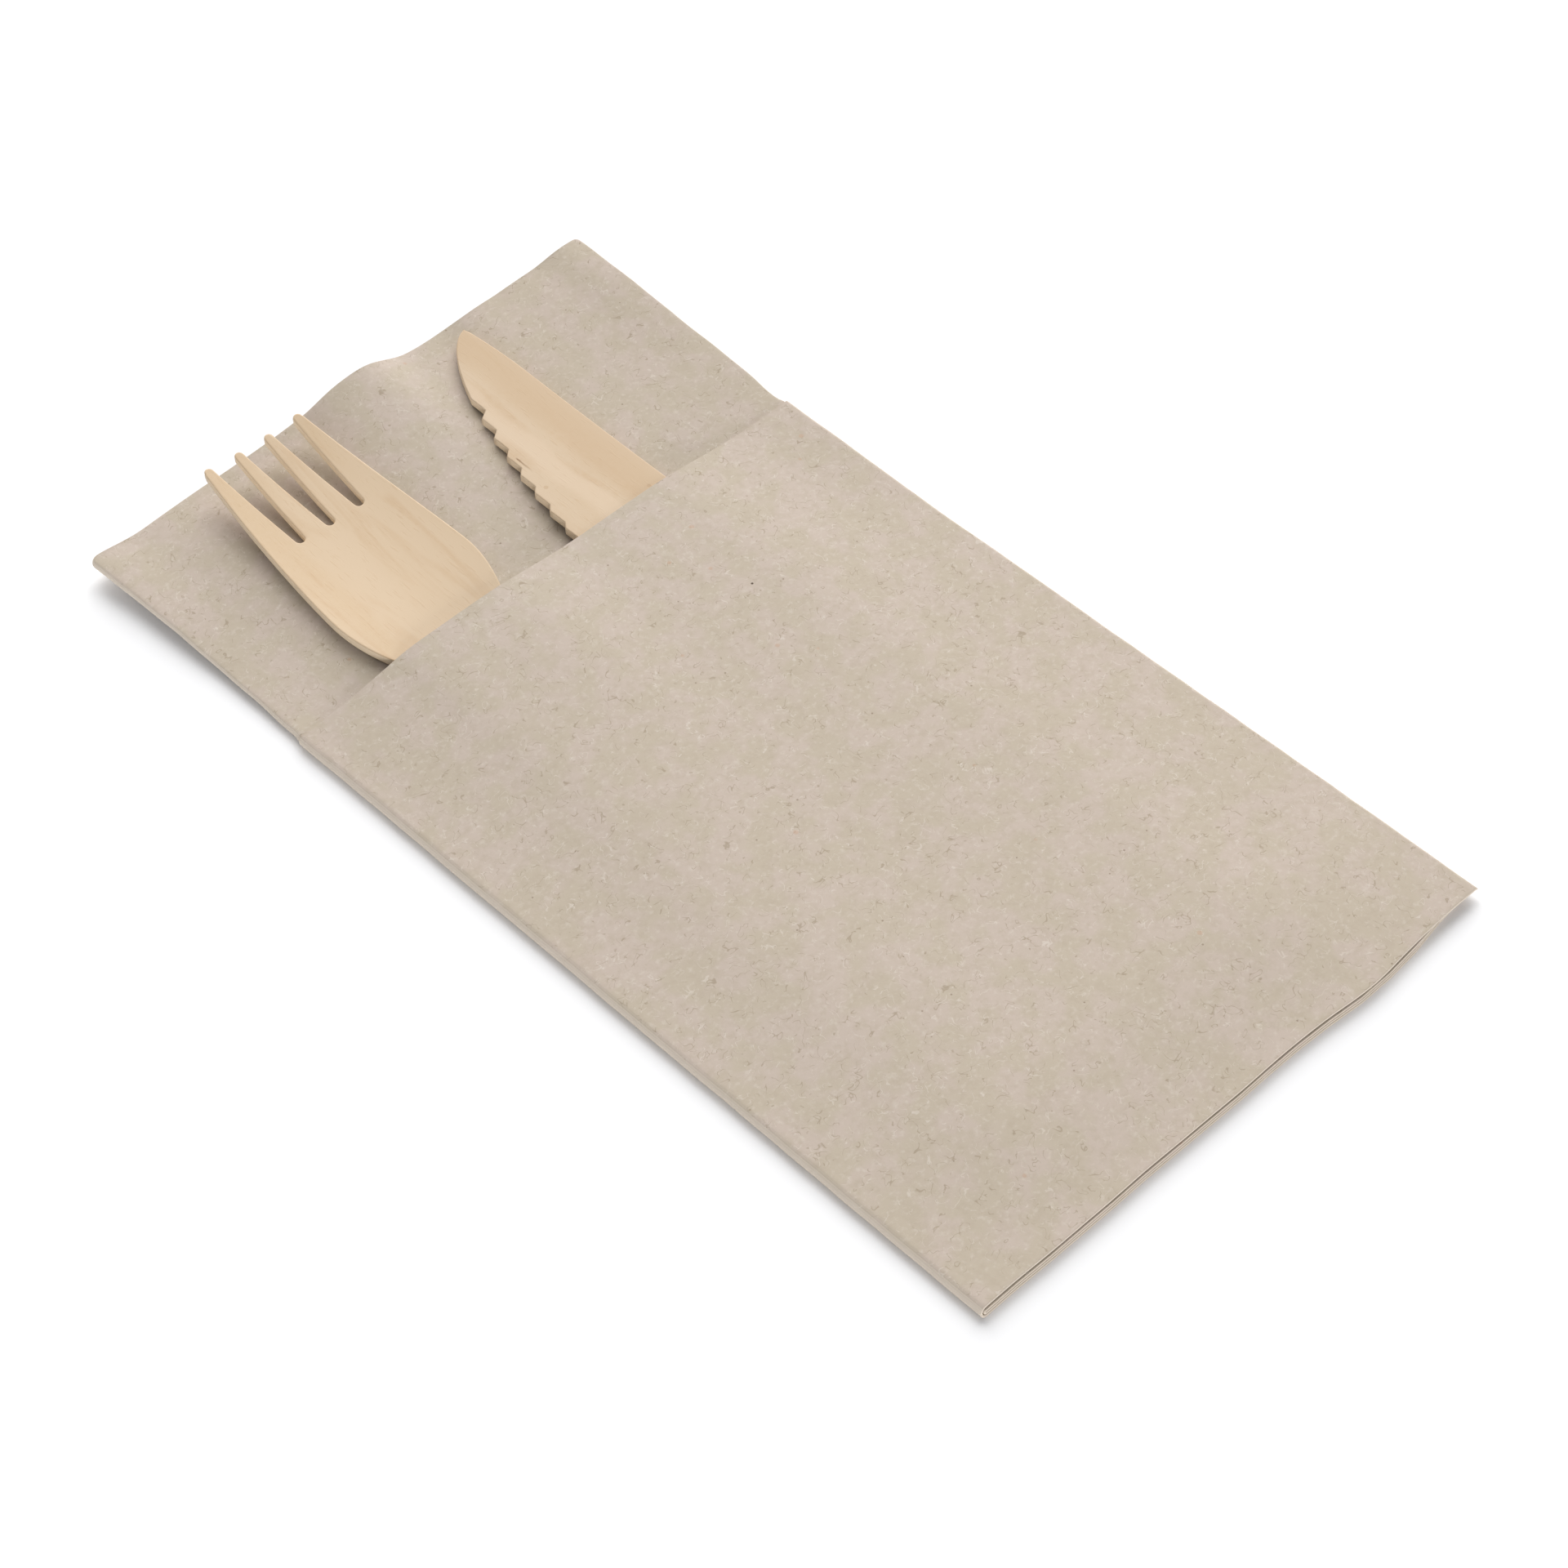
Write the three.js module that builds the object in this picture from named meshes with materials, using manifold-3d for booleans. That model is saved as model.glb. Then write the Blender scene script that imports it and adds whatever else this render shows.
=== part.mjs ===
// Wooden fork and knife in the pocket of a folded tissue napkin.
// Millimetres. +X runs across the pack, +Y from its bottom fold to its open top edge, +Z up.
// The pack lies on the plane Z = 0 with its pocket facing up.

import * as THREE from 'three';
import { mergeVertices } from 'three/addons/utils/BufferGeometryUtils.js';
import Module from 'manifold-3d';

const wasm = await Module();
wasm.setup();

// Napkin: one sheet, doubled up for the pocket and then folded across into four panels
const PANEL_WIDTH = 98.4;
const PACK_LENGTH = 190;
const POCKET_DEPTH = 140;
const SHEET_THICKNESS = 0.15;
const LAYER_GAP = 0.06;
const TOP_PANEL_GAP = 0.25;
const SIDE_EDGE_INSET = 1.2;

// Open end of the napkin, above the pocket's mouth
const SETTLE_LENGTH = 12;
const LEFT_LIFT = 2.4;
const RIGHT_LIFT = 4.4;
const LIFT_POWER = 1.25;
const MOUTH_TUCK = 0.6;
const MOUTH_TUCK_LENGTH = 4;
const CORNER_RADIUS = 2;
const EDGE_WAVE_PLACE = 51.5;
const EDGE_WAVE_WIDTH = 7;
const EDGE_WAVE_HEIGHT = 2.9;

// Cutlery, both pieces pressed from the same veneer. The gap keeps them off the paper.
const PIECE_GAP = 0.25;
const PLATE_THICKNESS = 1.5;
const EDGE_EASE = 0.3;

// Fork. Its place is the middle of its tine tips, its tilt turns it about them.
const FORK_LENGTH = 160;
const FORK_HEAD_WIDTH = 27;
const FORK_TIP_WIDTH = 19.4;
const FORK_HEAD_LENGTH = 38;
const FORK_SHOULDER_LENGTH = 20;
const FORK_SHOULDER_POWER = 1.5;
const FORK_TAPER_POWER = 1.15;
const FORK_NECK_WIDTH = 9.6;
const FORK_HANDLE_WIDTH = 14;
const FORK_RISE = 4.2;
const FORK_RISE_LENGTH = 80;
const FORK_DISH = 1.3;
const TINE_COUNT = 4;
const TINE_TIP_WIDTH = 2;
const SLOT_LENGTH = 19.5;
const SLOT_ROOT_WIDTH = 1.4;
const FORK_PLACE = 30.7;
const FORK_SETBACK = 1.5;
const FORK_TILT = THREE.MathUtils.degToRad(-1.1);

// Knife, spine to the right. Its place is the line of its spine.
const KNIFE_LENGTH = 165;
const BLADE_WIDTH = 20.4;
const BLADE_LENGTH = 48;
const BLADE_HEEL_LENGTH = 26;
const BLADE_CURVE_POWER = 1.2;
const BLADE_BLUNTNESS = 1;
const KNIFE_HANDLE_WIDTH = 16;
const KNIFE_HANDLE_INSET = 1.2;
const KNIFE_RISE = 3.1;
const KNIFE_RISE_LENGTH = 76;
const SPINE_DROP = 1.3;
const SPINE_DROP_LENGTH = 14;
const TOOTH_COUNT = 11;
const TOOTH_PITCH = 4.2;
const TOOTH_STEP = 1;
const TOOTH_UNDERCUT = 0.15;
const FIRST_TOOTH_SETBACK = 11;
const KNIFE_PLACE = 73.7;
const KNIFE_SETBACK = 3.7;

// Heights of the stacked layers, each at the middle of its thickness
const LAYER_STEP = SHEET_THICKNESS + LAYER_GAP;
const layerHeight = (layer) => SHEET_THICKNESS / 2 + layer * LAYER_STEP;

// Each panel's back sheet by its layer in the pocket and by its layer above the mouth.
// The front flap of a panel lies one layer further from that panel's inner face.
const BACK_LAYERS = {
  top: { pocket: 6, open: 3, extra: TOP_PANEL_GAP },
  second: { pocket: 5, open: 2, extra: 0 },
  third: { pocket: 2, open: 1, extra: 0 },
  bottom: { pocket: 1, open: 0, extra: 0 },
};

// Where the cutlery sits: the top panel's back sheet carries both pieces
const BACK_SHEET_HEIGHT = layerHeight(BACK_LAYERS.top.pocket) + TOP_PANEL_GAP;
const SEAT_HEIGHT = BACK_SHEET_HEIGHT + SHEET_THICKNESS / 2 + PIECE_GAP;
const FORK_END = PACK_LENGTH - FORK_SETBACK - FORK_LENGTH;
const KNIFE_END = PACK_LENGTH - KNIFE_SETBACK - KNIFE_LENGTH;

// Middle of the fork where it leaves the pocket
const FORK_PAST_MOUTH = PACK_LENGTH - FORK_SETBACK - POCKET_DEPTH;
const FORK_MOUTH_PLACE = FORK_PLACE + FORK_PAST_MOUTH * Math.tan(FORK_TILT);

// How far beside a piece, and past its end, the front flap keeps its full height
const FLAP_SIDE_MARGIN = 1.5;
const FLAP_END_MARGIN = 2;

const clamp01 = (value) => THREE.MathUtils.clamp(value, 0, 1);
const smooth = (value) => THREE.MathUtils.smoothstep(value, 0, 1);
const mix = THREE.MathUtils.lerp;
const bell = (distance, width) => Math.exp(-((distance / width) ** 2));

// Values from one mark to the next in equal steps, each mark once
function stepped(marks, counts) {
  const values = [marks[0]];
  counts.forEach((count, k) => {
    for (let i = 1; i <= count; i += 1) {
      values.push(mix(marks[k], marks[k + 1], i / count));
    }
  });
  return values;
}

// Height of the fork's underside above its seat, at a place along it and across it
function forkRise(x, y) {
  const along = clamp01((y - FORK_LENGTH + FORK_RISE_LENGTH) / FORK_RISE_LENGTH);
  const dishStart = FORK_LENGTH - FORK_HEAD_LENGTH - FORK_SHOULDER_LENGTH;
  const dish = FORK_DISH * smooth((y - dishStart) / FORK_SHOULDER_LENGTH);
  return FORK_RISE * along ** 2 + dish * (x / (FORK_HEAD_WIDTH / 2)) ** 2;
}

// Height of the knife's underside above its seat
function knifeRise(y) {
  const along = clamp01((y - KNIFE_LENGTH + KNIFE_RISE_LENGTH) / KNIFE_RISE_LENGTH);
  return KNIFE_RISE * along ** 2;
}

// Half of the fork's width at a place along it, before the slots are cut
function forkHalfWidth(y) {
  const endRadius = FORK_HANDLE_WIDTH / 2;
  const neck = FORK_NECK_WIDTH / 2;
  const head = FORK_HEAD_WIDTH / 2;
  const widest = FORK_LENGTH - FORK_HEAD_LENGTH;
  const neckPlace = widest - FORK_SHOULDER_LENGTH;
  if (y < endRadius) {
    return Math.sqrt(endRadius ** 2 - (endRadius - y) ** 2);
  }
  if (y < neckPlace) {
    return mix(endRadius, neck, smooth((y - endRadius) / (neckPlace - endRadius)));
  }
  if (y < widest) {
    const fromWidest = (widest - y) / FORK_SHOULDER_LENGTH;
    return neck + (head - neck) * (1 - fromWidest ** 2) ** FORK_SHOULDER_POWER;
  }
  const taperShare = ((y - widest) / FORK_HEAD_LENGTH) ** FORK_TAPER_POWER;
  const taper = (head - FORK_TIP_WIDTH / 2) * taperShare;
  const tineRadius = TINE_TIP_WIDTH / 2;
  const pastTip = clamp01((y - FORK_LENGTH + tineRadius) / tineRadius) * tineRadius;
  return head - taper - (tineRadius - Math.sqrt(tineRadius ** 2 - pastTip ** 2));
}

// How far the knife has widened from its handle to its blade: 0 at the handle, 1 at the blade
const bladeShare = (y) => smooth((y - KNIFE_LENGTH + BLADE_LENGTH) / BLADE_HEEL_LENGTH + 1);

// The knife's spine, at x = 0 along the blade
function spineAt(y) {
  const endRadius = KNIFE_HANDLE_WIDTH / 2;
  const inset = KNIFE_HANDLE_INSET * (1 - bladeShare(y));
  const dropShare = clamp01((y - KNIFE_LENGTH + SPINE_DROP_LENGTH) / SPINE_DROP_LENGTH);
  const fromRound = Math.max(endRadius - y, 0);
  const round = endRadius - Math.sqrt(endRadius ** 2 - fromRound ** 2);
  return -inset - SPINE_DROP * dropShare ** 2 - round;
}

// The knife's cutting edge before its teeth are cut
function cuttingEdgeAt(y) {
  const endRadius = KNIFE_HANDLE_WIDTH / 2;
  const bladeStart = KNIFE_LENGTH - BLADE_LENGTH;
  const handleEdge = -KNIFE_HANDLE_INSET - KNIFE_HANDLE_WIDTH;
  if (y < endRadius) {
    return handleEdge + endRadius - Math.sqrt(endRadius ** 2 - (endRadius - y) ** 2);
  }
  if (y < bladeStart) {
    return mix(handleEdge, -BLADE_WIDTH, bladeShare(y));
  }
  const along = (y - bladeStart) / (BLADE_LENGTH + BLADE_BLUNTNESS);
  return -BLADE_WIDTH * Math.sqrt(1 - along ** BLADE_CURVE_POWER);
}

// The place along the knife where its saw edge starts, and where each tooth ends below it
const SAW_START = KNIFE_LENGTH - FIRST_TOOTH_SETBACK;
const toothEnd = (index) => SAW_START - (index + 1) * TOOTH_PITCH;

// The saw edge: each tooth runs straight down from its point and then steps out to the next one
function sawEdgeAt(y) {
  const index = Math.ceil((SAW_START - y) / TOOTH_PITCH - 1);
  if (y >= SAW_START || index >= TOOTH_COUNT) {
    return cuttingEdgeAt(y);
  }
  const lower = toothEnd(index);
  const point = cuttingEdgeAt(lower + TOOTH_PITCH);
  const step = lower + TOOTH_STEP;
  const root = point + TOOTH_UNDERCUT;
  if (y >= step) {
    return mix(root, point, (y - step) / (TOOTH_PITCH - TOOTH_STEP));
  }
  return mix(cuttingEdgeAt(lower), root, (y - lower) / TOOTH_STEP);
}

// Places along the saw edge, from the handle's side to the tip's: both ends of each step
function sawPlaces() {
  const ends = Array.from({ length: TOOTH_COUNT }, (_, i) => toothEnd(TOOTH_COUNT - 1 - i));
  return ends.flatMap((end) => [end, end + TOOTH_STEP]);
}

// Places along a plate that fill a round end, close together where the outline turns fast
function roundEndPlaces(radius, count) {
  const first = radius / 50;
  return Array.from({ length: count }, (_, i) => {
    const angle = (Math.PI / 2) * (i / count);
    return mix(radius, first, Math.cos(angle));
  });
}

// A bent plate with eased edges. Its places run along Y, its sides and height are functions.
function bentPlate(places, leftAt, rightAt, riseAt, columns) {
  const rows = places.length - 1;
  const easeRows = 4;
  const geometry = new THREE.BoxGeometry(2, rows, easeRows, columns, rows, easeRows);
  const position = geometry.attributes.position;
  const halfThickness = PLATE_THICKNESS / 2;
  for (let i = 0; i < position.count; i += 1) {
    const across = position.getX(i);
    const row = Math.round(position.getY(i) + rows / 2);
    const level = Math.round(position.getZ(i));
    const outer = Math.abs(level) === 2;
    const ease = outer ? EDGE_EASE : 0;
    const left = leftAt(places[row]);
    const right = rightAt(places[row]);
    const leastHalf = (right - left) / 8;
    const half = Math.max((right - left) / 2 - ease, leastHalf);
    const x = (left + right) / 2 + across * half;
    const endShift = row === 0 ? ease : row === rows ? -ease : 0;
    const drop = Math.sign(level) * (outer ? halfThickness : halfThickness - EDGE_EASE);
    const z = halfThickness + riseAt(x, places[row]) + (level === 0 ? 0 : drop);
    position.setXYZ(i, x, places[row] + endShift, z);
  }
  return geometry;
}

// A solid for boolean cuts, made from a closed geometry
function solidFrom(geometry) {
  const bare = geometry.clone();
  bare.deleteAttribute('normal');
  bare.deleteAttribute('uv');
  const merged = mergeVertices(bare, 1e-5);
  return new wasm.Manifold(new wasm.Mesh({
    numProp: 3,
    vertProperties: new Float32Array(merged.attributes.position.array),
    triVerts: new Uint32Array(merged.index.array),
  }));
}

// The geometry of a solid after its cuts
function geometryFrom(solid) {
  const mesh = solid.getMesh();
  const geometry = new THREE.BufferGeometry();
  geometry.setAttribute('position', new THREE.BufferAttribute(new Float32Array(mesh.vertProperties), 3));
  geometry.setIndex(new THREE.BufferAttribute(new Uint32Array(mesh.triVerts), 1));
  geometry.computeVertexNormals();
  return geometry;
}

// An upright cutter with the outline of a shape, tall enough for any bend of the plate
function uprightCutter(shape) {
  const reach = PLATE_THICKNESS + FORK_RISE + FORK_DISH + KNIFE_RISE;
  const options = { depth: 2 * reach, bevelEnabled: false, curveSegments: 5 };
  const geometry = new THREE.ExtrudeGeometry(shape, options);
  geometry.translate(0, 0, -reach / 2);
  return solidFrom(geometry);
}

// Outline of the slot between two tines: narrow and round at its root, flared at the tine tips
function slotShape(center) {
  const mouth = (FORK_TIP_WIDTH - TINE_COUNT * TINE_TIP_WIDTH) / (TINE_COUNT - 1) / 2;
  const root = SLOT_ROOT_WIDTH / 2;
  const rootPlace = FORK_LENGTH - SLOT_LENGTH + root;
  const tineRadius = TINE_TIP_WIDTH / 2;
  const flare = Math.PI * 0.4;
  const tipPlace = FORK_LENGTH - tineRadius;
  const flareX = mouth + tineRadius * (1 - Math.cos(flare));
  const past = FORK_LENGTH + tineRadius;
  const shape = new THREE.Shape();
  shape.absarc(center, rootPlace, root, Math.PI, 2 * Math.PI, false);
  shape.lineTo(center + mouth, tipPlace);
  shape.absarc(center + mouth + tineRadius, tipPlace, tineRadius, Math.PI, Math.PI - flare, true);
  shape.lineTo(center + flareX, past);
  shape.lineTo(center - flareX, past);
  shape.absarc(center - mouth - tineRadius, tipPlace, tineRadius, flare, 0, true);
  return shape;
}

function cutAll(solid, shapes) {
  return shapes.reduce((body, shape) => body.subtract(uprightCutter(shape)), solid);
}

function buildFork() {
  const widest = FORK_LENGTH - FORK_HEAD_LENGTH;
  const neck = widest - FORK_SHOULDER_LENGTH;
  const endRadius = FORK_HANDLE_WIDTH / 2;
  const tipStart = FORK_LENGTH - TINE_TIP_WIDTH / 2;
  const places = [
    ...roundEndPlaces(endRadius, 5),
    ...stepped([endRadius, neck, widest, tipStart, FORK_LENGTH], [7, 9, 10, 2]),
  ];
  const plate = bentPlate(places, (y) => -forkHalfWidth(y), forkHalfWidth, forkRise, 10);
  const slotPitch = (FORK_TIP_WIDTH - TINE_TIP_WIDTH) / (TINE_COUNT - 1);
  const slots = Array.from({ length: TINE_COUNT - 1 }, (_, i) => {
    const fromMiddle = i - (TINE_COUNT - 2) / 2;
    return slotShape(fromMiddle * slotPitch);
  });
  return geometryFrom(cutAll(solidFrom(plate), slots));
}

function buildKnife() {
  const endRadius = KNIFE_HANDLE_WIDTH / 2;
  const heelStart = KNIFE_LENGTH - BLADE_LENGTH - BLADE_HEEL_LENGTH;
  const lastTooth = toothEnd(TOOTH_COUNT - 1);
  const nearTip = KNIFE_LENGTH - 4 * EDGE_EASE;
  const places = [
    ...roundEndPlaces(endRadius, 5),
    ...stepped([endRadius, heelStart, lastTooth], [5, 5]).slice(0, -1),
    ...sawPlaces(),
    ...stepped([SAW_START, nearTip, KNIFE_LENGTH], [9, 2]),
  ];
  const plate = bentPlate(places, sawEdgeAt, spineAt, (x, y) => knifeRise(y), 6);
  plate.computeVertexNormals();
  return plate;
}

// Height of the front flap above its back sheet. It is stretched over the fork and the knife
// and comes down to a plain layer step at both long folds and at the bottom fold.
function flapStandoff(x, y) {
  const bare = SHEET_THICKNESS + 2 * PIECE_GAP + PLATE_THICKNESS;
  const forkSide = forkHalfWidth(POCKET_DEPTH - FORK_END);
  const overFork = bare + forkRise(forkSide, y - FORK_END);
  const overKnife = bare + knifeRise(y - KNIFE_END);
  const forkFoot = smooth(y / (FORK_END - FLAP_END_MARGIN));
  const knifeFoot = smooth(y / (KNIFE_END - FLAP_END_MARGIN));
  const forkHeight = mix(LAYER_STEP, overFork, forkFoot);
  const knifeHeight = mix(LAYER_STEP, overKnife, knifeFoot);
  const [left, forkLeft, forkRight, knifeLeft, knifeRight, right] = flapMarks();
  if (x <= forkLeft) {
    return mix(LAYER_STEP, forkHeight, smooth((x - left) / (forkLeft - left)));
  }
  if (x <= knifeLeft) {
    return mix(forkHeight, knifeHeight, clamp01((x - forkRight) / (knifeLeft - forkRight)));
  }
  return mix(knifeHeight, LAYER_STEP, smooth((x - knifeRight) / (right - knifeRight)));
}

// Places across the top panel where the flap's slope changes
function flapMarks() {
  const forkSide = forkHalfWidth(POCKET_DEPTH - FORK_END) + FLAP_SIDE_MARGIN;
  return [
    0,
    FORK_MOUTH_PLACE - forkSide,
    FORK_MOUTH_PLACE + forkSide,
    KNIFE_PLACE - BLADE_WIDTH - FLAP_SIDE_MARGIN,
    KNIFE_PLACE + FLAP_SIDE_MARGIN,
    PANEL_WIDTH,
  ];
}

// How far along the open end a place is: 0 at the pocket's mouth, 1 at the raw top edge
const openShare = (y) => clamp01((y - POCKET_DEPTH) / (PACK_LENGTH - POCKET_DEPTH));

// The open end curls up towards its raw edge, most at the right
function lift(x, y) {
  return mix(LEFT_LIFT, RIGHT_LIFT, x / PANEL_WIDTH) * openShare(y) ** LIFT_POWER;
}

// The top panel's raw edge also stands up in one wave between the fork and the knife
function edgeWave(x, y) {
  return EDGE_WAVE_HEIGHT * bell(x - EDGE_WAVE_PLACE, EDGE_WAVE_WIDTH) * openShare(y) ** 3;
}

// The long folds pull in past the mouth, and round off at the raw edge
function foldTuck(y) {
  const mouth = MOUTH_TUCK * smooth((y - POCKET_DEPTH) / MOUTH_TUCK_LENGTH) * (1 - openShare(y) / 2);
  const past = clamp01((y - PACK_LENGTH + CORNER_RADIUS) / CORNER_RADIUS) * CORNER_RADIUS;
  return mouth + CORNER_RADIUS - Math.sqrt(CORNER_RADIUS ** 2 - past ** 2);
}

// Height of a panel's back sheet: it settles on the layers that are left above the mouth
function backHeight(panel, y) {
  const { pocket, open, extra } = BACK_LAYERS[panel];
  return mix(layerHeight(pocket), layerHeight(open), smooth((y - POCKET_DEPTH) / SETTLE_LENGTH)) + extra;
}

// Stations across the flat sheet, from one side edge to the other: bottom panel, outer left fold,
// top panel, right fold, second panel, inner left fold, third panel. Each one belongs to the
// fold that joins its panels and turns by an angle about it. At the inner fold the flap is inside.
function acrossStations() {
  const foldSteps = 6;
  const sideEdge = PANEL_WIDTH - SIDE_EDGE_INSET;
  const outerLeft = { upper: 'top', lower: 'bottom', side: -1, flapOutside: 1 };
  const right = { upper: 'top', lower: 'second', side: 1, flapOutside: 1 };
  const innerLeft = { upper: 'second', lower: 'third', side: -1, flapOutside: -1 };
  const quarter = Math.PI / 2;
  const turn = (fold, x, from, to) => {
    const angles = stepped([from, to], [foldSteps]);
    return angles.map((angle) => ({ fold, x, angle }));
  };
  const topPlaces = stepped(flapMarks(), [5, 3, 2, 3, 4]).slice(1, -1);
  return [
    { fold: outerLeft, x: sideEdge, angle: -quarter },
    ...turn(outerLeft, 0, -quarter, quarter),
    ...topPlaces.map((x) => ({ fold: right, x, angle: quarter })),
    ...turn(right, PANEL_WIDTH, quarter, -quarter),
    ...turn(innerLeft, 0, quarter, -quarter),
    { fold: innerLeft, x: sideEdge, angle: -quarter },
  ];
}

// Stations along the flat sheet, from the raw top edge down the back, round the bottom fold
// and up the front flap to the pocket's mouth
function alongStations() {
  const foldSteps = 5;
  const quarter = Math.PI / 2;
  const mouthEnd = POCKET_DEPTH + MOUTH_TUCK_LENGTH;
  const cornerStart = PACK_LENGTH - CORNER_RADIUS;
  const back = stepped([PACK_LENGTH, cornerStart, mouthEnd, POCKET_DEPTH, 0], [3, 11, 2, 5]);
  const flapFoot = [KNIFE_END - FLAP_END_MARGIN, FORK_END - FLAP_END_MARGIN].sort((a, b) => a - b);
  const front = stepped([0, ...flapFoot, POCKET_DEPTH], [5, 2, 9]);
  const bottomFold = stepped([-quarter, quarter], [foldSteps]).slice(1, -1);
  return [
    ...back.map((y) => ({ y, angle: -quarter })),
    ...bottomFold.map((angle) => ({ y: 0, angle })),
    ...front.map((y) => ({ y, angle: quarter })),
  ];
}

// One point of the folded sheet, from its two stations and its place in the thickness
function foldedPoint(across, along, depth) {
  const { fold, x, angle } = across;
  const standoff = fold.upper === 'top' && angle > 0 ? flapStandoff(x, along.y) : LAYER_STEP;
  const doubled = standoff / 2 + depth;
  const y = along.y - doubled * Math.cos(along.angle);
  const outward = fold.flapOutside * (standoff / 2 + doubled * Math.sin(along.angle));

  const upper = backHeight(fold.upper, along.y);
  const lower = backHeight(fold.lower, along.y);
  const radius = (upper - lower) / 2 + outward;
  const tucked = x + foldTuck(along.y) * (1 - (2 * x) / PANEL_WIDTH);
  const waveShare = fold.upper === 'top' ? (1 + Math.sin(angle)) / 2 : 0;
  const rise = lift(x, along.y) + waveShare * edgeWave(x, along.y);
  return [
    tucked + fold.side * radius * Math.cos(angle),
    y,
    (upper + lower) / 2 + radius * Math.sin(angle) + rise,
  ];
}

function buildNapkin() {
  const across = acrossStations();
  const along = alongStations();
  const columns = across.length - 1;
  const rows = along.length - 1;
  const geometry = new THREE.BoxGeometry(columns, rows, SHEET_THICKNESS, columns, rows, 1);
  const position = geometry.attributes.position;
  for (let i = 0; i < position.count; i += 1) {
    const column = Math.round(position.getX(i) + columns / 2);
    const row = Math.round(position.getY(i) + rows / 2);
    position.setXYZ(i, ...foldedPoint(across[column], along[row], position.getZ(i)));
  }
  geometry.computeVertexNormals();
  return geometry;
}

function material(color, roughness) {
  return new THREE.MeshStandardMaterial({ color, roughness, metalness: 0 });
}

function namedMesh(name, geometry, finish) {
  const mesh = new THREE.Mesh(geometry, finish);
  mesh.name = name;
  return mesh;
}

const napkin = namedMesh('napkin', buildNapkin(), material(0xccbfb0, 0.95));

const fork = namedMesh('fork', buildFork(), material(0xe5ccaf, 0.7));
fork.position.set(FORK_PLACE, FORK_END, SEAT_HEIGHT);
fork.rotation.z = FORK_TILT;
fork.position.x += FORK_LENGTH * Math.sin(FORK_TILT);

const knife = namedMesh('knife', buildKnife(), material(0xdec5a2, 0.7));
knife.position.set(KNIFE_PLACE, KNIFE_END, SEAT_HEIGHT);

// The origin is on the table, under the middle of the pack's outline
const pack = new THREE.Group();
pack.add(napkin, fork, knife);
pack.updateMatrixWorld(true);
const outline = new THREE.Box3().setFromObject(pack, true);
const middle = outline.getCenter(new THREE.Vector3());
pack.position.set(-middle.x, -middle.y, -outline.min.z);

export default pack;
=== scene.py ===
import math

import bmesh
import bpy
import numpy as np
from mathutils import Matrix, Vector


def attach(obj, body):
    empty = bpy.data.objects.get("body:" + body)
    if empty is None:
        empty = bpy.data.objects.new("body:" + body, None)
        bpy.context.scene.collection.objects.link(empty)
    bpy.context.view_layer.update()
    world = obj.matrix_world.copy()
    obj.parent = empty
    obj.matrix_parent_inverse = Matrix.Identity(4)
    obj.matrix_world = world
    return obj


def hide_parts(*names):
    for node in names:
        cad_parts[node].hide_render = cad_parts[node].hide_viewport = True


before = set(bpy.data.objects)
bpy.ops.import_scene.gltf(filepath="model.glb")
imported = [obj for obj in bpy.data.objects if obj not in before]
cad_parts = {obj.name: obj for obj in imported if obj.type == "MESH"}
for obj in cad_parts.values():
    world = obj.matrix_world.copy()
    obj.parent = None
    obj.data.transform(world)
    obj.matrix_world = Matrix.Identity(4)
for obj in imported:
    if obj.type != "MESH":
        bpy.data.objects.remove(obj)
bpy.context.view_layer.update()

MM = 0.001

# Camera: where it stands round the pack, in degrees, and where the target lies in its frame, in mm
VIEW_AZIMUTH = -42.21
VIEW_ELEVATION = 49.28
VIEW_ROLL = -2.21
VIEW_TARGET = np.array([0.0, 5.0, 0.0])
TARGET_IN_VIEW = np.array([-7.54, -10.8, 544.04])
FOCAL_LENGTH_PX = 4500
FRAME_PX = 1920
SENSOR_MM = 36

# Napkin: lengths and places in mm, counted from its left and bottom fold lines
PANEL_WIDTH = 98.4
PACK_LENGTH = 190.0
POCKET_DEPTH = 140.0
LEFT_FOLD = -48.99
BOTTOM_FOLD = -94.91
TABLE_CENTER = 50
SHEET_THICKNESS = 0.16
LAYER_STEP = 0.21
FIRST_LAYER = 0.08
TOP_PANEL_GAP = 0.3
SETTLE_LENGTH = 12.0
SIDE_EDGE_INSET = 1.2

# Open end: where it starts to lift, how the wave of its raw edge fades, and its two side edges
LIFT_START = 105
LIFT_RUN = 15
WAVE_FADE_POWER = 2.1
LEFT_CORNER = 1.0
RIGHT_CORNER = 0.8
LEFT_FLARE = 1.2
FLARE_START = 10
FLARE_RUN = 40
FLARE_POWER = 2.5
LEFT_TUCK = 0.25
RIGHT_TUCK = 0.3
TUCK_START = 0.3
TUCK_RUN = 1.6
DIP_LENGTH = 2
DIP_RUN = 6
RIGHT_SWELL = 0.3
SWELL_START = 4
SWELL_RUN = 8

# Back sheet under the cutlery: its gap below it, and how steeply it may rise beside it
PAPER_CLEARANCE = 0.06
FREE_MARGIN = 0.2
FREE_SLOPE = 1.2
FLAT_ANGLE = 1.5
BACK_START = 1

# Front flap: how it rises from the folds, and its unevenness as (height, seed, wavelength)
FLAP_BLEND_START = 70
FOOT_LENGTH = 23.0
FOOT_POWER = 0.8
SIDE_FADE = 9.0
FLAP_RIPPLES = ((0.05, 4, 26.0), (0.025, 9, 9.0))

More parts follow.
